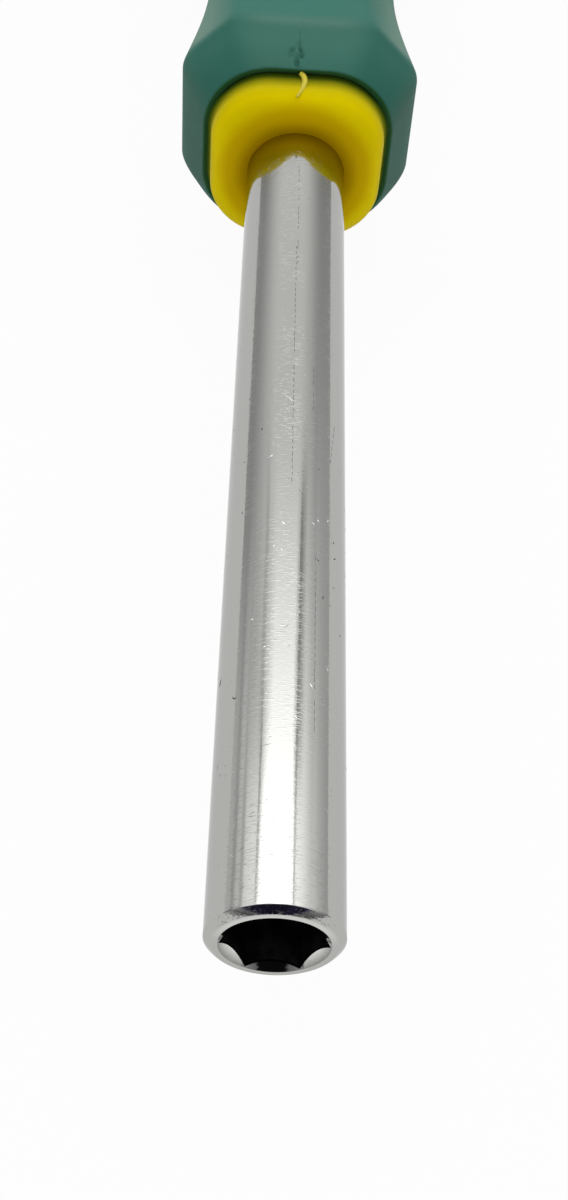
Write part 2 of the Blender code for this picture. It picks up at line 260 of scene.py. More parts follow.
def blend(share, first, second):
    """The first colour, or as much of the second as the share says."""
    feeds = {0: share, 6: (*first, 1.0) if isinstance(first, tuple) else first, 7: (*second, 1.0)}
    return wire(share.id_data, "ShaderNodeMix", feeds, data_type="RGBA")[2]


def new_finish(name, settings):
    """A new material with these values on its shader, and the material's tree."""
    material = bpy.data.materials.new(name)
    material.use_nodes = True
    for socket, value in settings.items():
        material.node_tree.nodes["Principled BSDF"].inputs[socket].default_value = value
    return material, material.node_tree


def paint(material, colour, roughness, relief=None):
    """Feeds a material's shader with a colour, a roughness and a relief in metres."""
    tree = material.node_tree
    inputs = tree.nodes["Principled BSDF"].inputs
    tree.links.new(colour, inputs["Base Color"])
    tree.links.new(roughness, inputs["Roughness"])
    if relief is not None:
        bump = wire(tree, "ShaderNodeBump", {"Height": relief, "Distance": 1.0, "Strength": 1.0})[0]
        tree.links.new(bump, inputs["Normal"])
    return material


def polished_chrome():
    material, tree = new_finish("polished_chrome", CHROME_SHADER)
    draw_lines = grain(tree, (7000, 45, 7000), detail=3.0)
    waves = grain(tree, (800, 25, 800), detail=1.0)
    pebble = grain(tree, (4200, 3000, 4200))
    smudges = grain(tree, (260, 120, 260), detail=3.0)
    # Fine scratches run round the tube, as the polishing wheel did, thicker in some places than in others.
    patches = ramp(grain(tree, (200, 120, 200)), 0.30, 0.56)
    wheel_marks = times(ramp(grain(tree, (1500, 9000, 1500)), 0.55, 0.70), patches)
    pits = specks(tree, spacing=0.0011, size=0.00006, share=0.10)
    # Bits have chafed the top of the mouth's bevel, most along its inner edge and to the left. A painted
    # highlight brightens the top of the rim inside it.
    off_axis, height, place = from_axis(tree)
    along = place[1]
    chafing = ramp(along, *CHAFED_ALONG, 0.0, 0.10)
    chafing = calc("ADD", chafing, ramp(place[0], *CHAFED_LEFT, 0.0, 0.06))
    flecks = calc("ADD", grain(tree, (5200, 5200, 5200), detail=4.0), chafing)
    on_bevel = times(ramp(along, *BEVEL_BACK), ramp(along, *BEVEL_FRONT), ramp(height, *BEVEL_TOP))
    flecks = times(ramp(flecks, 0.58, 0.70), on_bevel)
    stains = calc("MAXIMUM", pits, times(flecks, 0.20))
    painted_rim_highlight = times(ramp(off_axis, *RIM_INWARD), ramp(height, *RIM_TOP))
    # A painted reflection of the collar tints the plating yellow where the collar meets it.
    painted_collar_reflection = ramp(along, *COLLAR_REFLECTION_ALONG)
    colour = blend(painted_collar_reflection, CHROME, CHROME_PAINTED_COLLAR_REFLECTION)
    colour = blend(painted_rim_highlight, colour, CHROME_PAINTED_HIGHLIGHT)
    colour = blend(stains, colour, CHROME_STAINED)
    polish = ramp(smudges, 0.35, 0.75, 0.04, 0.08)
    relief = times(draw_lines, 1.4e-6)
    for marks, depth in ((waves, 8.0e-6), (pebble, 2.6e-6), (wheel_marks, 2.8e-6)):
        relief = times_plus(marks, depth, relief)
    return paint(material, colour, times_plus(flecks, 0.32, polish), relief)


def lead_in_painted_reflections():
    """Plating bits slide over, with painted reflections: bright by the hexagon, grey outward, black at the
    bottom.
    """
    material, tree = new_finish("lead_in_painted_reflections", CHROME_SHADER)
    off_axis, height, place = from_axis(tree)
    mottle = grain(tree, (2600, 2600, 2600), detail=3.0)
    aside = times_plus(mottle, 0.0006, calc("ABSOLUTE", place[0]))
    bottom = ramp(height, *LEAD_IN_BOTTOM)
    black = times(bottom, ramp(aside, *BLACK_INWARD))
    dull = ramp(off_axis, *DULL_OUTWARD, -0.25, 1.0, shape="LINEAR")
    dull = times_plus(mottle, 0.5, dull)
    dull = ramp(dull, 0.0, 1.25, shape="LINEAR")
    # Painted reflections: brighter by the hexagon, grey outward and at the bottom, black in the bottom's
    # middle.
    colour = blend(dull, CHROME_PAINTED_HIGHLIGHT, CHROME_PAINTED_GREY)
    colour = blend(bottom, colour, CHROME_PAINTED_DIM)
    colour = blend(black, colour, CHROME_PAINTED_BLACK)
    return paint(material, colour, times_plus(bottom, 0.42, 0.08))


def broached_steel_painted_shade():
    material, tree = new_finish("broached_steel_painted_shade", {"Metallic": 0.7})
    broach_lines = grain(tree, (6000, 80, 6000), detail=3.0)
    scale = grain(tree, (900, 700, 900), detail=3.0)
    shade = ramp(scale, 0.4, 0.75)
    # Painted shade: the socket's bare steel is coloured near black for the shade deep inside it.
    colour = blend(shade, (0.006, 0.006, 0.007), (0.024, 0.023, 0.022))
    return paint(material, colour, ramp(scale, 0.3, 0.7, 0.38, 0.6), times(broach_lines, 8.0e-6))


def tube_rings():
    """The tube's rings, and the finish of each band between two of them: plated, bare or the painted lead-in.
    """
    turn = full_turn(TUBE_SIDES)
    hexagon = socket_hexagon(turn)
    plated, bare, lead_in_band = 0, 1, 2
    rings, add_ring = ring_chain(turn, MOUTH_Y)
    bands = []

    def add(at, radius, finish=plated):
        add_ring(at, radius)
        bands.append(finish)

    # The edge is ground off in a bevel that swells a little, between two edges that are only just eased.
    swell = MOUTH_BEVEL / (math.cos(BEVEL_STARTS) - math.cos(BEVEL_ENDS))
    tilts = np.linspace(BEVEL_STARTS, BEVEL_ENDS, 9)
    bevel_at = swell * (math.cos(BEVEL_STARTS) - np.cos(tilts))
    bevel_radius = TUBE_RADIUS - swell * (math.sin(BEVEL_ENDS) - np.sin(tilts))
    corner = np.array((bevel_at[0], bevel_radius[0]))
    ahead = corner + BEVEL_EDGE * np.array((math.sin(BEVEL_STARTS), math.cos(BEVEL_STARTS)))
    outline = eased_corner(corner - (0, BEVEL_EDGE), corner, ahead)
    outline += zip(bevel_at[1:-1], bevel_radius[1:-1])
    corner = np.array((bevel_at[-1], bevel_radius[-1]))
    behind = corner - BEVEL_EDGE * np.array((math.sin(BEVEL_ENDS), math.cos(BEVEL_ENDS)))
    outline += eased_corner(behind, corner, corner + (BEVEL_EDGE, 0))
    outline += [(at, TUBE_RADIUS) for at in np.linspace(MOUTH_BEVEL + BEVEL_RUN_OUT, KNURL_FROM, TUBE_STEPS)]
    for at, radius in outline:
        add(at, radius)
    teeth = TUBE_RADIUS + KNURL_HEIGHT * (0.5 - 0.5 * np.cos(KNURL_TEETH * turn))
    add(KNURL_FROM + KNURL_HEIGHT, teeth)
    add(KNURL_TO - KNURL_HEIGHT, teeth)
    add(KNURL_TO, TUBE_RADIUS)
    add(TUBE_LENGTH - TUBE_END_EDGE, TUBE_RADIUS)
    add(TUBE_LENGTH, TUBE_RADIUS - TUBE_END_EDGE)
    add(TUBE_LENGTH, BORE_RADIUS, bare)
    add(SOCKET_DEPTH, BORE_RADIUS, bare)
    add(SOCKET_DEPTH, hexagon, bare)
    add(RING_SETBACK + GROOVE_HALF_WIDTH, hexagon, bare)
    add(RING_SETBACK + GROOVE_HALF_WIDTH, GROOVE_RADIUS, bare)
    add(RING_SETBACK - GROOVE_HALF_WIDTH, GROOVE_RADIUS, bare)
    add(RING_SETBACK - GROOVE_HALF_WIDTH, hexagon, bare)
    lead_in_depth = LEAD_IN_RADIUS - hexagon
    add(lead_in_depth + PLATED_INSIDE, hexagon)
    add(lead_in_depth, hexagon, lead_in_band)
    for swing in np.linspace(0, math.pi / 4, 4):
        inset = LEAD_IN_EDGE * (1 - math.sin(math.pi / 4 + swing))
        outset = LEAD_IN_EDGE * math.cos(math.pi / 4 + swing)
        add(inset, LEAD_IN_RADIUS + LEAD_IN_EDGE - outset)
    return rings, bands


tube_finishes = [polished_chrome(), broached_steel_painted_shade(), lead_in_painted_reflections()]
rings, bands = tube_rings()
tube = skin("chromed_tube", rings, tube_finishes, bands, looped=True)
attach(tube, "root")
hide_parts("shaft_tube")


# Marks on the plating: hairline scratches, small raised burrs of chrome, and nicks and long draw lines that
# lay the steel bare. Polishing, plating and packing left them. Most run round the tube, in loose clusters.
HAIR_WIDTH = 0.00005
HAIR_LENGTH = 0.0008
HAIR_LENGTH_SHARES = (0.25, 1.4)
HAIR_CROWDING = 420000.0
HAIR_SEED = 7
CLUSTER_SCALE = 180.0
CLUSTER_LEVELS = (0.52, 0.66)
THINNING_ALONG = (-0.004, 0.022)
DASH_WIDTH = 0.00006
DASH_STEP = 0.0007
DASH_LENGTHS = (0.0006, 0.0012)
DASHES_KEPT = 0.86
BURR_WIDTH = 0.00016
NICK_WIDTH = 0.00014
SUNK_SHARE = 0.28
# Each draw line: degrees from the top to the right and millimetres behind the mouth, at its two ends.
DRAW_LINES = (
    (3.0, 37.5, 1.5, 66.0),
    (23.0, 44.5, 23.0, 50.5),
    (44.5, 41.0, 50.0, 45.0),
    (28.0, 14.5, 27.5, 30.0),
    (3.5, 64.0, 2.5, 78.0),
)
# Each burr and nick, in the same units: where it starts, what it bends towards and where it ends.
BURRS = (
    (-8.5, 47.0, -2.0, 46.9, 1.5, 46.2),
    (1.0, 50.9, 4.0, 50.8, 7.0, 50.6),
    (-23.5, 40.2, -20.0, 39.9, -15.5, 40.5),
    (9.5, 15.4, 11.0, 14.6, 16.5, 15.1),
    (5.5, 24.1, 9.5, 24.2, 13.0, 23.8),
    (-2.5, 21.5, 1.5, 21.3, 6.0, 21.0),
    (22.0, 18.4, 24.0, 18.1, 26.5, 17.6),
    (21.5, 33.4, 23.5, 33.6, 25.5, 33.2),
    (27.5, 33.9, 28.8, 34.1, 30.0, 33.7),
    (39.0, 34.2, 40.0, 34.3, 42.5, 34.7),
    (-8.0, 33.1, -5.5, 33.3, -3.0, 32.7),
    (-10.5, 30.4, -6.0, 30.6, -3.0, 30.0),
    (-14.0, 30.5, -12.8, 30.8, -11.5, 30.8),
    (-33.0, 24.0, -31.5, 24.1, -30.0, 23.8),
    (-19.5, 21.0, -18.0, 21.3, -17.0, 21.2),
)
NICKS = (
    (-49.5, 17.8, -47.0, 17.0, -43.0, 17.6),
    (-74.5, 19.5, -72.0, 20.2, -68.5, 20.4),
    (34.5, 26.2, 35.0, 26.5, 35.5, 26.8),
    (-29.5, 43.3, -29.0, 43.5, -28.5, 43.7),
    (46.5, 31.0, 50.0, 30.8, 52.5, 31.4),
    (27.5, 29.9, 29.0, 30.1, 30.5, 29.7),
    (48.0, 32.4, 48.5, 32.6, 49.0, 32.8),
    (48.5, 28.0, 49.5, 28.2, 50.5, 28.1),
    (59.5, 24.0, 60.0, 24.2, 61.0, 24.3),
    (-49.0, 35.0, -48.5, 35.2, -48.0, 35.4),
    (-49.5, 40.6, -49.0, 40.7, -48.0, 40.8),
    (-46.0, 47.5, -45.5, 47.7, -45.5, 48.0),
    (29.0, 39.3, 29.5, 39.4, 30.0, 39.5),
)


def tree_with_inputs(name, sizes):
    """An empty Geometry Nodes tree, with a named input for each size."""
    tree = bpy.data.node_groups.new(name, "GeometryNodeTree")
    tree.interface.new_socket(name="Geometry", in_out="OUTPUT", socket_type="NodeSocketGeometry")
    for label, value in sizes.items():
        kind = "NodeSocketInt" if isinstance(value, int) else "NodeSocketFloat"
        tree.interface.new_socket(name=label, in_out="INPUT", socket_type=kind)
    return tree, wire(tree, "NodeGroupInput")


def end_tree(geometry, material, where=True):
    tree = geometry.id_data
    real = wire(tree, "GeometryNodeRealizeInstances", {0: geometry})[0]
    feeds = {"Geometry": real, "Selection": where, "Material": material}
    wire(tree, "NodeGroupOutput", {0: wire(tree, "GeometryNodeSetMaterial", feeds)[0]})


def grow(name, tree, sizes):
    """The mesh that a Geometry Nodes tree makes, as a plain object."""
    piece = new_object(name, bpy.data.meshes.new(name))
    nodes = piece.modifiers.new("grow", "NODES")
    nodes.node_group = tree
    for socket in tree.interface.items_tree:
        if socket.in_out == "INPUT":
            nodes[socket.identifier] = sizes[socket.name]
    graph = bpy.context.evaluated_depsgraph_get()
    mesh = bpy.data.meshes.new_from_object(piece.evaluated_get(graph))
    piece.modifiers.remove(nodes)
    piece.data = mesh
    mesh.name = name
    mesh.shade_smooth()
    return piece


def join(parts):
    return wire(parts[0].id_data, "GeometryNodeJoinGeometry", {0: parts})[0]


def vector_of(tree, x, y, z):
    return wire(tree, "ShaderNodeCombineXYZ", {0: x, 1: y, 2: z})[0]


def random_between(tree, low, high, seed):
    feeds = {2: low, 3: high, "Seed": seed}
    return wire(tree, "FunctionNodeRandomValue", feeds, data_type="FLOAT")[1]


def bent_curve(tree, start, middle, end, points):
    feeds = {"Resolution": points, "Start": start, "Middle": middle, "End": end}
    return wire(tree, "GeometryNodeCurveQuadraticBezier", feeds)[0]


def sweep(curves, points, radius, scale=1.0):
    """A closed rod of that radius along each curve, with so many points round it."""
    tree = curves.id_data
    feeds = {"Resolution": points, "Radius": radius}
    profile = wire(tree, "GeometryNodeCurvePrimitiveCircle", feeds, mode="RADIUS")[0]
    feeds = {"Curve": curves, "Profile Curve": profile, "Scale": scale, "Fill Caps": True}
    return wire(tree, "GeometryNodeCurveToMesh", feeds)[0]


def sweep_tapered(curves, half_width, blunt=0.05, tail=0.95):
    """A closed spindle along each curve, thickest in its middle, or at an end that is blunt."""
    tree = curves.id_data
    along = wire(tree, "GeometryNodeSplineParameter")["Factor"]
    swell = calc("SINE", times_plus(along, math.pi * (tail - blunt), math.pi * blunt))
    feeds = {"Curve": curves, "Radius": times(swell, half_width)}
    shaped = wire(tree, "GeometryNodeSetCurveRadius", feeds)[0]
    return sweep(shaped, 5, 1.0, wire(tree, "GeometryNodeInputRadius")[0])


def grained(name, settings, scale, colours, roughness, contrast=None, detail=2.0, depth=0.0):
    """A finish that one grain shades between two colours and two roughnesses, and lifts by a depth."""
    material, tree = new_finish(name, settings)
    spots = grain(tree, scale, detail)
    shade = ramp(spots, *contrast) if contrast else spots
    relief = times(spots, depth) if depth else None
    return paint(material, blend(shade, *colours), ramp(spots, 0.3, 0.7, *roughness), relief)


def on_unrolled_tube(course):
    """A mark's degrees and millimetres, by turns, as points on the tube's outside unrolled flat."""
    spots = zip(course[::2], course[1::2])
    return [(math.radians(turn) * TUBE_RADIUS, at / 1000 - TUBE_EXPOSED / 2, 0.0) for turn, at in spots]


def short_bends(tree, courses):
    return join([bent_curve(tree, *on_unrolled_tube(course), 8) for course in courses])


def lay_hairs(tree, points, turned, length):
    """A slightly bent curve at each point, as long as given."""
    hair = bent_curve(tree, (-0.5, 0.0, 0.0), (0.0, 0.14, 0.0), (0.5, 0.0, 0.0), 6)
    scale = vector_of(tree, length, length, length)
    feeds = {"Points": points, "Instance": hair, "Rotation": turned, "Scale": scale}
    laid = wire(tree, "GeometryNodeInstanceOnPoints", feeds)[0]
    return wire(tree, "GeometryNodeRealizeInstances", {0: laid})[0]


def roll_up(size, curves, width):
    """Curves on the unrolled tube, bent round it and sunk a little into it."""
    tree = curves.id_data
    flat = wire(tree, "ShaderNodeSeparateXYZ", {0: wire(tree, "GeometryNodeInputPosition")[0]})
    round_angle = calc("DIVIDE", flat[0], size["Tube radius"])
    depth = times_plus(width, -SUNK_SHARE, size["Tube radius"])
    rolled = vector_of(
        tree,
        times(calc("SINE", round_angle), depth),
        calc("ADD", flat[1], size["Middle"]),
        times_plus(calc("COSINE", round_angle), depth, size["Axis height"]),
    )
    bent = wire(tree, "GeometryNodeSetPosition", {"Geometry": curves, "Position": rolled})[0]
    return sweep_tapered(bent, times(width, 0.5))


mark_sizes = {
    "Tube radius": TUBE_RADIUS,
    "Marked length": TUBE_EXPOSED - 4 * MOUTH_BEVEL,
    "Middle": MOUTH_Y + TUBE_EXPOSED / 2,
    "Axis height": AXIS_Z,
    "Width": HAIR_WIDTH,
    "Dash width": DASH_WIDTH,
    "Burr width": BURR_WIDTH,
    "Nick width": NICK_WIDTH,
    "Length": HAIR_LENGTH,
    "Crowding": HAIR_CROWDING,
    "Seed": HAIR_SEED,
}
tree, size = tree_with_inputs("handling_marks", mark_sizes)
# The hairs are strewn on the tube's outside unrolled flat, thinner towards the collar, and rolled up with it.
girth = times(size["Tube radius"], 2 * math.pi)
unrolled = wire(tree, "GeometryNodeMeshGrid", {0: girth, 1: size["Marked length"], 2: 2, 3: 2})[0]
place = wire(tree, "GeometryNodeInputPosition")[0]
feeds = {"Vector": place, "Scale": CLUSTER_SCALE, "Detail": 2.0}
clusters = wire(tree, "ShaderNodeTexNoise", feeds)[0]
along = wire(tree, "ShaderNodeSeparateXYZ", {0: place})[1]
feeds = {"Mesh": unrolled, "Density": size["Crowding"], "Seed": size["Seed"]}
strewn = wire(tree, "GeometryNodeDistributePointsOnFaces", feeds)[0]
kept = calc("GREATER_THAN", clusters, ramp(along, *THINNING_ALONG, *CLUSTER_LEVELS))
points = wire(tree, "GeometryNodeSeparateGeometry", {0: strewn, 1: kept})[0]
lean = random_between(tree, -0.5, 0.5, 3)
lean = times(lean, calc("ABSOLUTE", lean), 5.0)
length = times(size["Length"], random_between(tree, *HAIR_LENGTH_SHARES, 4))
hairs = lay_hairs(tree, points, vector_of(tree, 0.0, 0.0, lean), length)
# A draw line is a row of dashes, some of which are missing.
rows = []
for course in DRAW_LINES:
    start, end = on_unrolled_tube(course)
    feeds = {"Start": start, "End": end}
    line = wire(tree, "GeometryNodeCurvePrimitiveLine", feeds)[0]
    feeds = {"Curve": line, "Length": DASH_STEP}
    rows.append(wire(tree, "GeometryNodeCurveToPoints", feeds, mode="LENGTH")[0])
kept = calc("LESS_THAN", random_between(tree, 0.0, 1.0, 8), DASHES_KEPT)
dots = wire(tree, "GeometryNodeSeparateGeometry", {0: join(rows), 1: kept})[0]
dash_length = random_between(tree, *DASH_LENGTHS, 9)
dashes = lay_hairs(tree, dots, (0.0, 0.0, math.pi / 2), dash_length)
# Burrs and bared marks get their finish here, and the tree's last step gives the hairs theirs.
burrs = roll_up(size, short_bends(tree, BURRS), size["Burr width"])
nicks = roll_up(size, short_bends(tree, NICKS), size["Nick width"])
bared = join([roll_up(size, dashes, size["Dash width"]), nicks])
raised_chrome = grained("raised_chrome", METAL_SHADER, (4000, 4000, 4000),
                        ((0.50, 0.50, 0.50), (0.95, 0.95, 0.95)), (0.10, 0.22), (0.35, 0.65))
bared_steel = grained("bared_steel", METAL_SHADER, (3000, 900, 3000),
                      ((0.03, 0.03, 0.035), (0.12, 0.12, 0.12)), (0.5, 0.7))
scuffed_chrome = grained("scuffed_chrome", METAL_SHADER, (3000, 900, 3000),
                         ((0.12, 0.12, 0.13), (0.82, 0.82, 0.82)), (0.35, 0.6), (0.35, 0.65))
all_marks = [roll_up(size, hairs, size["Width"])]
is_hair = 1.0
for geometry, finish in ((burrs, raised_chrome), (bared, bared_steel)):
    feeds = {"Geometry": geometry, "Material": finish}
    all_marks.append(wire(tree, "GeometryNodeSetMaterial", feeds)[0])
    chosen = wire(tree, "GeometryNodeMaterialSelection", {0: finish})[0]
    is_hair = calc("SUBTRACT", is_hair, chosen)
end_tree(join(all_marks), scuffed_chrome, is_hair)
marks = grow("plating_marks", tree, mark_sizes)
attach(marks, "root")


# The ring that grips the notches of a bit: hard spring wire bent to an open circle, which snaps into a groove
# inside the socket and reaches a little into the hexagon's corners.
RING_OPENING = math.radians(50)
ring_sizes = {"Ring radius": RING_RADIUS, "Wire": RING_WIRE, "Opening": RING_OPENING,
              "Place": MOUTH_Y + RING_SETBACK, "Axis height": AXIS_Z}
tree, size = tree_with_inputs("spring_ring", ring_sizes)
swept_angle = calc("SUBTRACT", 2 * math.pi, size["Opening"])
start_angle = times_plus(size["Opening"], 0.5, math.pi / 2)
feeds = {"Resolution": 72, "Radius": size["Ring radius"], "Start Angle": start_angle,
         "Sweep Angle": swept_angle}
bent = wire(tree, "GeometryNodeCurveArc", feeds, mode="RADIUS")[0]
feeds = {0: bent, "Translation": vector_of(tree, 0.0, size["Place"], size["Axis height"]),
         "Rotation": (math.pi / 2, 0.0, 0.0)}
stood = wire(tree, "GeometryNodeTransform", feeds)[0]
spring_steel = grained("drawn_spring_steel", METAL_SHADER, (4000, 4000, 4000),
                       ((0.20, 0.20, 0.21), (0.45, 0.45, 0.46)), (0.25, 0.45), detail=3.0)
end_tree(sweep(stood, 16, times(size["Wire"], 0.5)), spring_steel)
spring = grow("spring_ring", tree, ring_sizes)
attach(spring, "root")
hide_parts("retaining_ring")


# What stands behind the socket: a nickel plated magnet pressed into a turned brass cup, the steel pin that
# takes the thrust of a bit, and the nylon plug that closes the tube. Their CAD solids are kept.
def turned_metal(name, dark, bright, roughness):
    material, tree = new_finish(name, METAL_SHADER)
    tool_marks = grain(tree, (300, 9000, 300))
    stains = grain(tree, (500, 500, 500), detail=3.0)
    roughness = ramp(stains, 0.3, 0.7, roughness, 1.6 * roughness)
    return paint(material, blend(stains, dark, bright), roughness, times(tool_marks, 3.0e-6))


inner_finishes = {
    "magnet": turned_metal("nickel_plating", (0.42, 0.40, 0.37), (0.62, 0.60, 0.56), 0.20),
    "magnet_cup": turned_metal("turned_brass", (0.55, 0.38, 0.14), (0.74, 0.54, 0.22), 0.25),
    "thrust_pin": turned_metal("ground_steel", (0.32, 0.32, 0.33), (0.48, 0.48, 0.49), 0.32),
    "tube_plug": grained("black_nylon", {}, (700, 300, 700), ((0.05, 0.05, 0.05), (0.10, 0.10, 0.10)),
                         (0.45, 0.65), detail=3.0, depth=1.0e-5),
}
for node, finish in inner_finishes.items():
    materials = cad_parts[node].data.materials
    materials.clear()
    materials.append(finish)


# The core of the handle is a hard yellow plastic moulding, pressed or moulded over the tube. Its front is a
# square collar with round corners and a well rounded edge. The rest is hidden under the grip.
COLLAR_WIDTH = 0.0169
COLLAR_CORNER = 0.0059
COLLAR_EDGE_ACROSS = 0.0034
COLLAR_EDGE_BACK = 0.0021
CORE_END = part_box("handle_core")[1].y - COLLAR_Y
CORE_CAVITY_RADIUS = 0.0055
CORE_WEB = 0.0060
CORE_FIT = 0.00001
CORE_BORE = TUBE_RADIUS + CORE_FIT
SLOT_WIDTH = 0.00085
SLOT_DEPTH = 0.0005
FOOT_FLARE = 0.00042
FOOT_FROM = 0.0010
FOOT_TO = 0.0002
LIP_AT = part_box("grip_sleeve")[0].y - COLLAR_Y
GUARD_AT = 0.0094
GUARD_CREST = 0.0012
GUARD_WIDTH = 0.0233
NECK_FROM = 0.0265
NECK_TO = 0.0330
NECK_WIDTH = 0.0196
BARREL_FROM = 0.0640
BARREL_TO = 0.0840
BARREL_WIDTH = 2 * AXIS_Z
TAIL_ROLL = 0.0012
TAIL_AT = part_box("grip_sleeve")[1].y - COLLAR_Y - TAIL_ROLL
TAIL_WIDTH = 0.0240
GRIP_CORNER = 0.0024
SLANT_REACH = 1.05
TOP_REACH = 0.89
GRIP_WALL = 0.0024
FLUTE_FROM = 0.0480
FLUTE_TO = 0.0920
FLUTE_DEPTH = 0.0009
FLUTE_HALF_ANGLE = math.radians(19)
SEAM_GAP = 0.0001
# The grip's outline, which the hidden core follows: place behind the collar's front, half width and slope.
OUTLINE_KNOTS = (
    (LIP_AT, COLLAR_WIDTH / 2 + SLOT_WIDTH, 0.45),
    (GUARD_AT, GUARD_WIDTH / 2, 0.20),
    (GUARD_AT + GUARD_CREST, GUARD_WIDTH / 2, -0.17),
    (NECK_FROM, NECK_WIDTH / 2, 0.0),
    (NECK_TO, NECK_WIDTH / 2, 0.0),
    (BARREL_FROM, BARREL_WIDTH / 2, 0.0),
    (BARREL_TO, BARREL_WIDTH / 2, 0.0),
    (TAIL_AT, TAIL_WIDTH / 2, -0.32),
)
CORE_SIDES = 256
# Painted shade on the collar: its colours near the tube and by the slot, and where they fade in.
YELLOW_SHADED_NEAR_TUBE = (0.70, 0.460, 0.0)
YELLOW_SHADED_AT_TUBE = (0.43, 0.250, 0.0)
GREEN_PAINTED_SLOT_SHADE = (0.062, 0.105, 0.006)
SLOT_SHADE_REACH = 0.0027
SHADED_INWARD = (0.0082, 0.0066)
MOST_SHADED_INWARD = (0.0066, 0.0047)


def smooth_step(low, high, value):
    share = np.clip((value - low) / (high - low), 0.0, 1.0)
    return share * share * (3 - 2 * share)


def outline_half_width(at):
    """Half the grip's width across flats, on cubic curves through its knots."""
    for (a, low, rise_a), (b, high, rise_b) in zip(OUTLINE_KNOTS, OUTLINE_KNOTS[1:]):
        if at <= b:
            break
    t = min(max((at - a) / (b - a), 0.0), 1.0)
    bends = rise_a * t * (1 - t) ** 2 - rise_b * t * t * (1 - t)
    return low + (high - low) * smooth_step(0, 1, t) + bends * (b - a)


def collar_radius(angles, outset=0.0):
    return polygon_radius(angles, 4, COLLAR_WIDTH / 2 + outset, COLLAR_CORNER + outset)


def flute_cut(at, angles):
    """Depth of the shallow scoop in each slanting facet of the barrel."""
    along = math.sin(math.pi * min(max((at - FLUTE_FROM) / (FLUTE_TO - FLUTE_FROM), 0.0), 1.0))
    off_centre = np.abs(angles % (math.pi / 2) - math.pi / 4)
    return FLUTE_DEPTH * along * np.maximum(0.0, 1 - (off_centre / FLUTE_HALF_ANGLE) ** 2) ** 2


def faceted_radius(angles, half_width, half_height):
    """An octagon with rounded corners, whose slanting facets stand further out than its other flats."""
    off_flat = np.abs((angles + math.pi / 4) % (math.pi / 2) - math.pi / 4)
    at_side = np.abs(np.cos(angles)) > np.abs(np.sin(angles))
    flat = np.where(at_side, half_width, half_height)
    slant = SLANT_REACH * half_width
    out = flat - GRIP_CORNER
    aside = math.sqrt(2) * (slant - GRIP_CORNER) - out
    reach = GRIP_CORNER * math.sqrt(0.5)
    off_corner = off_flat - np.arctan2(aside, out)
    centre = np.hypot(out, aside)
    depth = np.sqrt(np.maximum(GRIP_CORNER**2 - (centre * np.sin(off_corner)) ** 2, 0.0))
    on_slant = slant / np.cos(math.pi / 4 - off_flat)
    past_corner = off_flat > np.arctan2(aside + reach, out + reach)
    beyond = np.where(past_corner, on_slant, centre * np.cos(off_corner) + depth)
    return np.where(off_flat < np.arctan2(aside, flat), flat / np.cos(off_flat), beyond)


def grip_radius(at, angles):
    """Outside of the grip: the collar's rounded square at the lip, an octagon from the guard back."""
    half_width = outline_half_width(at)
    square = polygon_radius(angles, 4, half_width, COLLAR_CORNER + SLOT_WIDTH)
    share = smooth_step(LIP_AT, GUARD_AT, at)
    half_height = half_width * (TOP_REACH + (1 - TOP_REACH) * smooth_step(NECK_TO, BARREL_FROM, at))
    octagon = faceted_radius(angles, half_width, half_height)
    return square + (octagon - square) * share - flute_cut(at, angles)


def core_radius(at, angles, outset=0.0):
    """Outside of the core: the collar, then one grip wall inside the grip."""
    share = smooth_step(LIP_AT + SLOT_DEPTH, GUARD_AT, at)
    collar = collar_radius(angles)
    return collar + (grip_radius(at, angles) - GRIP_WALL - collar) * share + outset


def glossy_yellow(name, shade_painter=None):
    material, tree = new_finish(name, {"Specular IOR Level": 0.04, "Specular Tint": (1.0, 0.80, 0.10, 1.0)})
    flow = grain(tree, (220, 120, 220), detail=3.0)
    dust = specks(tree, spacing=0.0009, size=0.00007, share=0.06)
    mould_lines = grain(tree, (5000, 500, 500))
    colour = blend(ramp(flow, 0.3, 0.7), (0.84, 0.655, 0.0), (0.88, 0.695, 0.0))
    colour = shade_painter(tree, colour) if shade_painter else colour
    colour = blend(dust, colour, (0.82, 0.78, 0.35))
    relief = times_plus(flow, 3.0e-5, times(mould_lines, 3.0e-6))
    return paint(material, colour, ramp(flow, 0.3, 0.7, 0.42, 0.54), relief)


def collar_painted_shade(tree, colour):
    """Painted shade deepens the collar's yellow near the tube; painted shade and a green reflection darken it
    by the slot.
    """
    off_axis, _, place = from_axis(tree)
    colour = blend(ramp(off_axis, *SHADED_INWARD), colour, YELLOW_SHADED_NEAR_TUBE)
    colour = blend(ramp(off_axis, *MOST_SHADED_INWARD), colour, YELLOW_SHADED_AT_TUBE)
    slot_y = COLLAR_Y + LIP_AT
    slot_shade = ramp(place[1], slot_y - SLOT_SHADE_REACH, slot_y, shape="LINEAR")
    return blend(slot_shade, colour, GREEN_PAINTED_SLOT_SHADE)


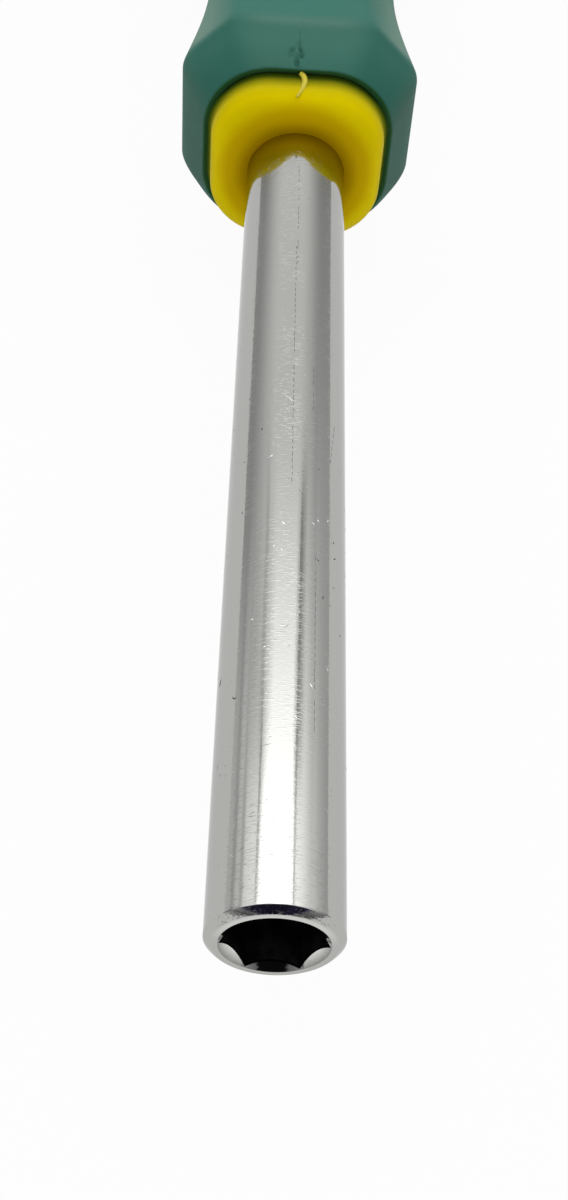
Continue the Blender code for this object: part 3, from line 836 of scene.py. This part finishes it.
def core_rings():
    turn = full_turn(CORE_SIDES)
    rings, add = ring_chain(turn, COLLAR_Y)
    tube_end = TUBE_LENGTH - TUBE_EXPOSED
    add(tube_end, CORE_BORE)
    add(0.0, CORE_BORE)
    face_edge = collar_radius(turn, -COLLAR_EDGE_ACROSS)
    for share in (0.3, 0.65, 0.9):
        add(0.0, CORE_BORE + (face_edge - CORE_BORE) * share)
    for swing in quarter_round(20):
        outset = -COLLAR_EDGE_ACROSS * (1 - math.sin(swing))
        add(COLLAR_EDGE_BACK * (1 - math.cos(swing)), collar_radius(turn, outset))
    # The collar ends in a small flared foot in the slot, widest at its sides.
    foot = FOOT_FLARE * (1 - 0.85 * smooth_step(0.30, 0.80, np.abs(np.sin(turn))))
    for share in np.linspace(0.0, 1.0, 10):
        add(LIP_AT - FOOT_FROM + (FOOT_FROM + FOOT_TO) * share, collar_radius(turn) + foot * share**2)
    add(LIP_AT + SLOT_DEPTH, collar_radius(turn))
    for at in np.linspace(LIP_AT + SLOT_DEPTH, CORE_END, 40)[1:]:
        add(at, core_radius(at, turn))
    add(CORE_END, CORE_CAVITY_RADIUS)
    add(tube_end + CORE_WEB, CORE_CAVITY_RADIUS)
    return rings


core = skin("core_and_collar", core_rings(), [glossy_yellow("glossy_yellow_core", collar_painted_shade)])
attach(core, "root")
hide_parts("handle_core")


# The grip is soft green plastic, moulded over the core. A narrow slot parts its lip from the collar, and the
# two halves of the mould leave a seam along its top and underside, rough where it runs down to the lip.
LIP_ROUND = 0.00022
SEAM_ANGLES = (math.radians(92), math.radians(272))
SEAM_HALF_WIDTH = 0.00010
SEAM_PROUD = 0.00014
SEAM_SUNK = 0.000012
# Where the seam is torn and puckered, above the lip: degrees round the axis, millimetres behind the collar's
# front, half width, half length and depth, which is negative where the plastic stands proud.
PUCKERS = (
    (91.5, 6.0, 0.18, 0.32, 0.34),
    (90.7, 5.3, 0.22, 0.40, 0.36),
    (95.8, 5.9, 0.24, 0.30, 0.30),
    (96.8, 5.3, 0.20, 0.38, 0.22),
    (93.0, 4.5, 0.24, 0.55, 0.38),
    (92.6, 6.9, 0.26, 0.80, -0.16),
    (93.6, 5.6, 0.30, 0.45, -0.14),
    (91.3, 4.4, 0.18, 0.60, -0.14),
)
STEPS_BETWEEN_KNOTS = (60, 14, 30, 4, 20, 8, 16)
# The grip's painted sheen and painted crest highlight, and the colour of its dust.
GREEN_PAINTED_SHEEN = (0.146, 0.256, 0.203)
GREEN_CREST_HIGHLIGHT = (0.080, 0.190, 0.150)
GREEN_DUST = (0.26, 0.38, 0.34)
# Where the green fades from one look to the next: places along the tool, heights and distances aside.
CREST_Y = COLLAR_Y + GUARD_AT + GUARD_CREST
BEHIND_CREST = (CREST_Y - 0.0004, CREST_Y + 0.0018)
CREST_HIGHLIGHT_ALONG = (CREST_Y - 0.0020, CREST_Y - 0.0002)
PAINTED_LIGHT_UP = (0.0025, 0.0100)
SHEEN_ASIDE = (0.0064, 0.0104)
SHEEN_UP = (0.003, 0.006)
SHEEN_ALONG = (COLLAR_Y + 0.045, COLLAR_Y + NECK_TO)
SEAM_BEAD_ENDS = (GUARD_AT - 0.0012, GUARD_AT + 0.0004)


def seam_and_corner_angles():
    """Angles round the grip, closer together at the octagon's corners and at the mould's seams."""
    angles = [math.radians(a) for a in range(0, 360, 2)]
    for flat in range(4):
        nearest = math.degrees(math.atan(math.sqrt(2) * SLANT_REACH - 1))
        lowered = math.degrees(math.atan(math.sqrt(2) * SLANT_REACH / TOP_REACH - 1))
        furthest = lowered if flat % 2 else nearest
        off_flat = np.radians(np.arange(nearest - 8, furthest + 8, 0.65))
        angles += list(math.pi / 2 * flat + off_flat) + list(math.pi / 2 * flat - off_flat)
    for seam in SEAM_ANGLES:
        angles += list(seam + np.radians(np.linspace(-1.5, 1.5, 25)))
    angles += list(SEAM_ANGLES[0] + np.radians(np.linspace(-3.0, 6.5, 38)))
    angles = np.sort(np.array(angles) % (2 * math.pi))
    return angles[np.append(np.diff(angles) > 1e-4, True)]


def seam_rise(at, angles, radius):
    """How far the mould's seam stands proud: a rough bead in front of the guard, a faint groove behind it."""
    off = np.minimum(np.abs(angles - SEAM_ANGLES[0]), np.abs(angles - SEAM_ANGLES[1])) * radius
    front = 1 - smooth_step(*SEAM_BEAD_ENDS, at)
    ragged = 0.6 + 0.4 * math.sin(at * 9000) * math.sin(at * 5300 + 1.0)
    height = SEAM_PROUD * ragged * front - SEAM_SUNK * (1 - front)
    rise = height * np.exp(-((off / SEAM_HALF_WIDTH) ** 2))
    for degrees, place, half_width, half_length, depth in PUCKERS:
        across = (angles - math.radians(degrees)) * radius / (half_width / 1000)
        along = (at * 1000 - place) / half_length
        rise = rise - depth / 1000 * np.exp(-(across**2) - along**2)
    return rise


def soft_green(name, light, dark, shaded_slant):
    material, tree = new_finish(name, {"Specular IOR Level": 0.06})
    clouds = grain(tree, (140, 90, 140), detail=3.0)
    matte = grain(tree, (6500, 6500, 6500))
    dust = specks(tree, spacing=0.0014, size=0.00006, share=0.10)
    _, height, place = from_axis(tree)
    along = place[1]
    behind = ramp(along, *BEHIND_CREST)
    in_front = calc("SUBTRACT", 1.0, behind)
    # Painted light: the green is lighter higher up and behind the guard's crest.
    shade = times_plus(clouds, 0.5, ramp(height, *PAINTED_LIGHT_UP, 0.0, 0.35))
    shade = times_plus(behind, 0.25, shade)
    shade = times_plus(calc("SUBTRACT", matte, 0.5), 0.5, shade)
    colour = blend(ramp(shade, 0.0, 1.0, shape="LINEAR"), dark, light)
    # Painted shade darkens the slanting facets in front of the guard, and a painted sheen pales them behind
    # it.
    aside = calc("ABSOLUTE", place[0])
    up = calc("ABSOLUTE", height)
    off_flat = calc("DIVIDE", calc("MINIMUM", aside, up), calc("MAXIMUM", aside, up))
    colour = blend(times(ramp(off_flat, 0.42, 0.72), in_front), colour, shaded_slant)
    painted_sheen = times(behind, ramp(aside, *SHEEN_ASIDE), ramp(height, *SHEEN_UP), ramp(along, *SHEEN_ALONG))
    colour = blend(painted_sheen, colour, GREEN_PAINTED_SHEEN)
    # A painted highlight pales the guard's crest, on its flats.
    crest = times(ramp(along, *CREST_HIGHLIGHT_ALONG), in_front)
    crest = times(crest, ramp(off_flat, 0.60, 0.30, 0.0, 0.7))
    colour = blend(crest, colour, GREEN_CREST_HIGHLIGHT)
    colour = blend(dust, colour, GREEN_DUST)
    relief = times_plus(matte, 8.0e-6, times(clouds, 4.0e-5))
    return paint(material, colour, ramp(matte, 0.3, 0.7, 0.50, 0.66), relief)


def grip_stations():
    """Places along the grip, closer together where its outline turns."""
    stations = []
    for (start, _, _), (end, _, _), steps in zip(OUTLINE_KNOTS, OUTLINE_KNOTS[1:], STEPS_BETWEEN_KNOTS):
        stations += list(np.linspace(start, end, steps, endpoint=False))
    return stations[1:] + [TAIL_AT]


def grip_rings():
    """The grip's rings: the slot's wall, the rounded lip, the outside, the rolled tail and the inside."""
    turn = seam_and_corner_angles()
    rings, add = ring_chain(turn, COLLAR_Y)
    slot_floor = collar_radius(turn) + SEAM_GAP
    lip = grip_radius(LIP_AT, turn)
    before = LIP_ROUND / math.hypot(SLOT_DEPTH, SLOT_WIDTH)
    wall_at = LIP_AT + SLOT_DEPTH * before
    wall = lip + (slot_floor - lip) * before
    after_at = LIP_AT + LIP_ROUND
    lip_places = eased_corner(wall_at, LIP_AT, after_at, 7)
    for at, radius in zip(lip_places, eased_corner(wall, lip, grip_radius(after_at, turn), 7)):
        add(at, radius)
    for at in grip_stations():
        if at > after_at + 0.00005:
            radius = grip_radius(at, turn)
            add(at, radius + seam_rise(at, turn, radius))
    outer = grip_radius(TAIL_AT, turn)
    inner = core_radius(TAIL_AT, turn, SEAM_GAP)
    for swing in np.linspace(0, math.pi, 15)[1:]:
        rolled = (outer + inner) / 2 + (outer - inner) / 2 * math.cos(swing)
        add(TAIL_AT + TAIL_ROLL * math.sin(swing), rolled)
    for at in np.linspace(CORE_END, LIP_AT + SLOT_DEPTH, 14):
        add(at, core_radius(at, turn, SEAM_GAP))
    return rings


grip_finishes = [
    soft_green("soft_green_plastic", (0.040, 0.180, 0.138), (0.060, 0.132, 0.098), (0.034, 0.145, 0.109)),
    # The slot's wall is a darker, yellower green: painted shade and painted yellow light from the collar.
    soft_green("slot_wall_painted_shade", (0.044, 0.150, 0.056), (0.040, 0.140, 0.048), (0.034, 0.130, 0.044)),
]
rings = grip_rings()
slot_bands = [1, 1] + [0] * (len(rings) - 3) + [1]
grip = skin("soft_grip", rings, grip_finishes, slot_bands, looped=True)
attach(grip, "root")
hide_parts("grip_sleeve")


# A wisp of yellow flash, squeezed out of the core's mould at the seam. It stands out of the slot on top of
# the collar, curls to one side and lies down along the collar's rounded edge.
WISP_WIDTH = 0.00060
WISP_STARTS = Vector((-0.00010, COLLAR_Y + 0.00385, AXIS_Z + 0.00880))
WISP_BENDS = Vector((0.00085, COLLAR_Y + 0.00300, AXIS_Z + 0.00852))
WISP_ENDS = Vector((-0.00040, COLLAR_Y + 0.00095, AXIS_Z + 0.00815))
wisp_sizes = {"Width": WISP_WIDTH}
tree, size = tree_with_inputs("flash_wisp", wisp_sizes)
curl = bent_curve(tree, WISP_STARTS, WISP_BENDS, WISP_ENDS, 24)
pale_flash = grained("pale_yellow_flash", {"Specular IOR Level": 0.2}, (5000, 1500, 5000),
                     ((0.62, 0.50, 0.01), (0.76, 0.66, 0.10)), (0.35, 0.55))
half_width = times(size["Width"], 0.5)
end_tree(sweep_tapered(curl, half_width, blunt=0.38, tail=0.88), pale_flash)
wisp = grow("flash_wisp", tree, wisp_sizes)
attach(wisp, "root")


# The end cap is moulded in the same hard yellow plastic. Its spigot is welded into the core, and its dome
# stands out of the grip's tail, with a cross hole to hang the tool by and the socket's hexagon sunk in it.
CAP_COLLAR = 0.0010
CAP_SEAM = 0.0001
HANDLE_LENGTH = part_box("end_cap")[1].y - COLLAR_Y
DOME_AT = TAIL_AT + CAP_COLLAR
SPIGOT_RADIUS = CORE_CAVITY_RADIUS - CAP_SEAM
SPIGOT_LENGTH = 0.0080
SPIGOT_EDGE = 0.0006
HANG_HOLE_RADIUS = 0.0031
HANG_HOLE_SETBACK = 0.0034
HANG_HOLE_AT = HANDLE_LENGTH - HANG_HOLE_SETBACK - HANG_HOLE_RADIUS
HANG_HOLE_FLARE = 0.0009
HANG_HOLE_SIDES = 96
HEX_MARK_DEPTH = 0.0005
HEX_MARK_MARGIN = 0.0010
HEX_MARK_EDGE = 0.00012
DOME_END_RADIUS = HEX_ACROSS_CORNERS / 2 + HEX_MARK_MARGIN


def cap_rings():
    turn = full_turn(CORE_SIDES)
    rings, add = ring_chain(turn, COLLAR_Y)
    hexagon = socket_hexagon(turn)
    cap_at = CORE_END + CAP_SEAM
    tip = cap_at - SPIGOT_LENGTH
    add(tip, SPIGOT_RADIUS - SPIGOT_EDGE)
    add(tip + SPIGOT_EDGE, SPIGOT_RADIUS)
    add(cap_at, SPIGOT_RADIUS)
    for at in (cap_at, (cap_at + TAIL_AT) / 2, TAIL_AT):
        add(at, core_radius(at, turn))
    base = core_radius(TAIL_AT, turn)
    for swing in quarter_round(40):
        at = DOME_AT + (HANDLE_LENGTH - DOME_AT) * math.sin(swing)
        add(at, DOME_END_RADIUS + (base - DOME_END_RADIUS) * math.cos(swing))
    for swing in quarter_round(4):
        at = HANDLE_LENGTH - HEX_MARK_EDGE * (1 - math.cos(swing))
        add(at, hexagon + HEX_MARK_EDGE * (1 - math.sin(swing)))
    add(HANDLE_LENGTH - HEX_MARK_DEPTH, hexagon)
    return rings


def hang_hole_cutter():
    """A round cutter across the cap, flared at both ends for a rounded rim. Its faces point inwards."""
    half_width = float(core_radius(TAIL_AT, np.zeros(1))[0])
    share = (HANG_HOLE_AT - DOME_AT) / (HANDLE_LENGTH - DOME_AT)
    rim = DOME_END_RADIUS + (half_width - DOME_END_RADIUS) * math.sqrt(1 - share**2)
    flare_from = rim - 1.6 * HANG_HOLE_FLARE
    profile = []
    for swing in quarter_round(8):
        reach = flare_from + HANG_HOLE_FLARE * math.sin(swing)
        profile.append((reach, HANG_HOLE_RADIUS + HANG_HOLE_FLARE * (1 - math.cos(swing))))
    profile.append((2 * BARREL_WIDTH, profile[-1][1]))
    profile = [(-x, r) for x, r in reversed(profile)] + profile
    turn = full_turn(HANG_HOLE_SIDES)
    rings = []
    for x, r in profile:
        along = np.full_like(turn, x)
        place = [along, COLLAR_Y + HANG_HOLE_AT + r * np.cos(turn), AXIS_Z + r * np.sin(turn)]
        rings.append(np.stack(place, axis=1))
    return skin("hang_hole_cutter", rings, [])


cap = skin("domed_end_cap", cap_rings(), [glossy_yellow("glossy_yellow_cap")])
cutter = hang_hole_cutter()
# Because the cutter's faces point inwards, this cut marks the hole's rims on the cap but doesn't bore it.
hole = cap.modifiers.new("hang_hole", "BOOLEAN")
hole.operation = "DIFFERENCE"
hole.solver = "EXACT"
hole.object = cutter
drilled = bpy.data.meshes.new_from_object(cap.evaluated_get(bpy.context.evaluated_depsgraph_get()))
cap.modifiers.remove(hole)
cap.data = drilled
bpy.data.objects.remove(cutter, do_unlink=True)
drilled.shade_smooth()
drilled.set_sharp_from_angle(angle=SHARP_EDGE)
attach(cap, "root")
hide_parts("end_cap")


# The studio: a plain pale sweep under the tool, and a soft white tent round it with a broad lamp above the
# handle. What the tool mirrors of the camera's side is dark, most of all the doorway behind the camera.
FLOOR_HALF_WIDTH = 30.0
PAPER_WASH = 0.955
floor_mesh = bpy.data.meshes.new("floor")
corners = [(FLOOR_HALF_WIDTH * x, FLOOR_HALF_WIDTH * y, 0.0) for x, y in [(-1, -1), (1, -1), (1, 1), (-1, 1)]]
floor_mesh.from_pydata(corners, [], [(0, 1, 2, 3)])
floor = new_object("floor", floor_mesh)
paper, tree = new_finish("pale_paper", {"Roughness": 0.9, "Specular IOR Level": 0.0})
shader = tree.nodes["Principled BSDF"]
fibres = grain(tree, (300, 300, 300), detail=3.0)
colour = blend(fibres, (0.70, 0.70, 0.70), (0.74, 0.74, 0.74))
tree.links.new(colour, shader.inputs["Base Color"])
# Seen directly or mirrored, the paper is washed towards white, and keeps part of the shadow.
path = wire(tree, "ShaderNodeLightPath")
seen = calc("MAXIMUM", path["Is Camera Ray"], path["Is Glossy Ray"])
seen = calc("MAXIMUM", seen, path["Is Transmission Ray"])
feeds = {0: times(seen, PAPER_WASH), 1: shader.outputs[0], 2: wire(tree, "ShaderNodeEmission")[0]}
washed = wire(tree, "ShaderNodeMixShader", feeds)[0]
tree.links.new(washed, tree.nodes["Material Output"].inputs["Surface"])
floor_mesh.materials.append(paper)


def between(value, low, high, edge):
    """One between two limits and nothing outside them, with soft edges."""
    rise = ramp(value, low - edge / 2, low + edge / 2)
    return times(rise, ramp(value, high + edge / 2, high - edge / 2))


world = bpy.data.worlds.new("soft_tent")
bpy.context.scene.world = world
world.use_nodes = True
tree = world.node_tree
direction = wire(tree, "ShaderNodeTexCoord")["Generated"]
sight = wire(tree, "ShaderNodeSeparateXYZ", {0: direction})
# Degrees from overhead to the right, seen along the tool, and the parts of the direction across and back.
sideways = times(calc("ARCTAN2", sight[0], sight[2]), 180 / math.pi)
across = calc("ABSOLUTE", sight[0])
back = sight[1]
# The tent is brightest overhead. Its sides are lit where the tube mirrors them, and dim elsewhere.
off_crown = calc("ABSOLUTE", calc("ADD", sideways, 7.0))
dim = calc("SUBTRACT", 1.0, between(back, 0.42, 0.82, 0.06))
side = times_plus(dim, -0.36, 0.48)
light = ramp(off_crown, 75.0, 22.0, side, 1.0)
# The lamp has a soft left edge and a sharp right one, which spread apart towards the handle. Over the mouth
# both are sharper.
spread = times(sideways, ramp(back, 0.66, 0.77, 1.0, 0.65))
left_full = ramp(back, 0.60, 0.51, -14.0, -27.0)
right_full = ramp(back, 0.60, 0.51, 17.0, 22.5)
lamp = times(
    ramp(spread, -37.0, left_full),
    ramp(spread, 26.0, right_full),
    ramp(back, 0.74, 0.45, 0.0, 2.0),
    ramp(back, 0.05, 0.40),
)
light = calc("ADD", light, lamp)
# The panels beside it: limits and edge in degrees, how far back they start and are full, and how bright.
panels = (
    (-57.0, -34.0, 5.0, 0.60, 0.50, 0.62),
    (-73.0, -64.0, 4.0, 0.70, 0.52, 0.28),
    (-99.0, -80.0, 4.0, 0.70, 0.50, 0.22),
    (-99.0, -56.0, 4.0, 0.70, 0.56, 0.12),
    (58.0, 99.0, 8.0, 0.80, 0.64, 0.16),
)
for low, high, edge, starts, full, level in panels:
    panel = times(between(sideways, low, high, edge), ramp(back, starts, full, 0.0, level))
    light = calc("ADD", light, panel)
halo = times(ramp(sideways, 26.0, 29.0), ramp(sideways, 90.0, 25.0))
halo = times(halo, ramp(back, 0.76, 0.44, 0.0, 1.15))
light = calc("ADD", light, halo)
# Behind the tool, further back than the tube mirrors, stands a bright backdrop.
light = calc("ADD", light, ramp(back, 0.80, 0.90, 0.0, 0.45))
# Dark rails frame the lamp. The camera's side is dimmed, and more where it is mirrored. The doorway behind
# the camera is dark and bluish, and only shows mirrored, in the bevel of the tube's mouth.
right_rail = times(ramp(spread, 24.0, 27.0), ramp(spread, 42.0, 28.0))
right_rail = times(right_rail, between(back, 0.55, 0.69, 0.06))
left_rail = times(between(spread, -40.5, -34.0, 4.0), between(back, 0.57, 0.70, 0.06))
near_rail = times(between(spread, -37.0, -33.5, 2.0), between(back, 0.42, 0.58, 0.04))
mirrored = wire(tree, "ShaderNodeLightPath")["Is Glossy Ray"]
camera_side = times(ramp(back, 0.20, 0.06), ramp(mirrored, 0.0, 1.0, 0.45, 0.60))
camera_side = times(camera_side, ramp(across, 0.85, 0.55))
doorway = times(ramp(back, -0.28, -0.48), mirrored)
doorway = times(doorway, ramp(calc("ABSOLUTE", sideways), 70.0, 52.0))
gaps = ((right_rail, 0.60), (left_rail, 0.20), (near_rail, 0.45), (camera_side, 1.0), (doorway, 0.93))
for gap, share in gaps:
    light = times(light, times_plus(gap, -share, 1.0))
background = tree.nodes["Background"].inputs
tree.links.new(light, background["Strength"])
tree.links.new(blend(doorway, (1.0, 1.0, 1.0), (0.45, 0.40, 1.0)), background["Color"])
bpy.context.scene.view_settings.view_transform = "Standard"


# The camera stands in front of the mouth and above it, close, and is turned a little round the line of sight.
# Its place and lens were fitted to the outlines of the tube, the collar and the guard.
CAMERA_FROM_MOUTH = Vector((-0.003718, -0.049273, 0.095737))
LOOKS_AT_BEHIND_MOUTH = 0.02927
CAMERA_LENS = 48.34
CAMERA_ROLL = math.radians(5.06)
lens = bpy.data.cameras.new("camera")
lens.lens = CAMERA_LENS
lens.sensor_width = 36.0
lens.clip_start = 0.005
camera = new_object("camera", lens)
mouth_centre = Vector((0.0, MOUTH_Y, AXIS_Z))
camera_place = mouth_centre + CAMERA_FROM_MOUTH
line_of_sight = mouth_centre + Vector((0.0, LOOKS_AT_BEHIND_MOUTH, 0.0)) - camera_place
level = line_of_sight.to_track_quat("-Z", "Y").to_matrix().to_4x4()
camera.matrix_world = Matrix.Translation(camera_place) @ level @ Matrix.Rotation(CAMERA_ROLL, 4, "Z")
bpy.context.scene.camera = camera
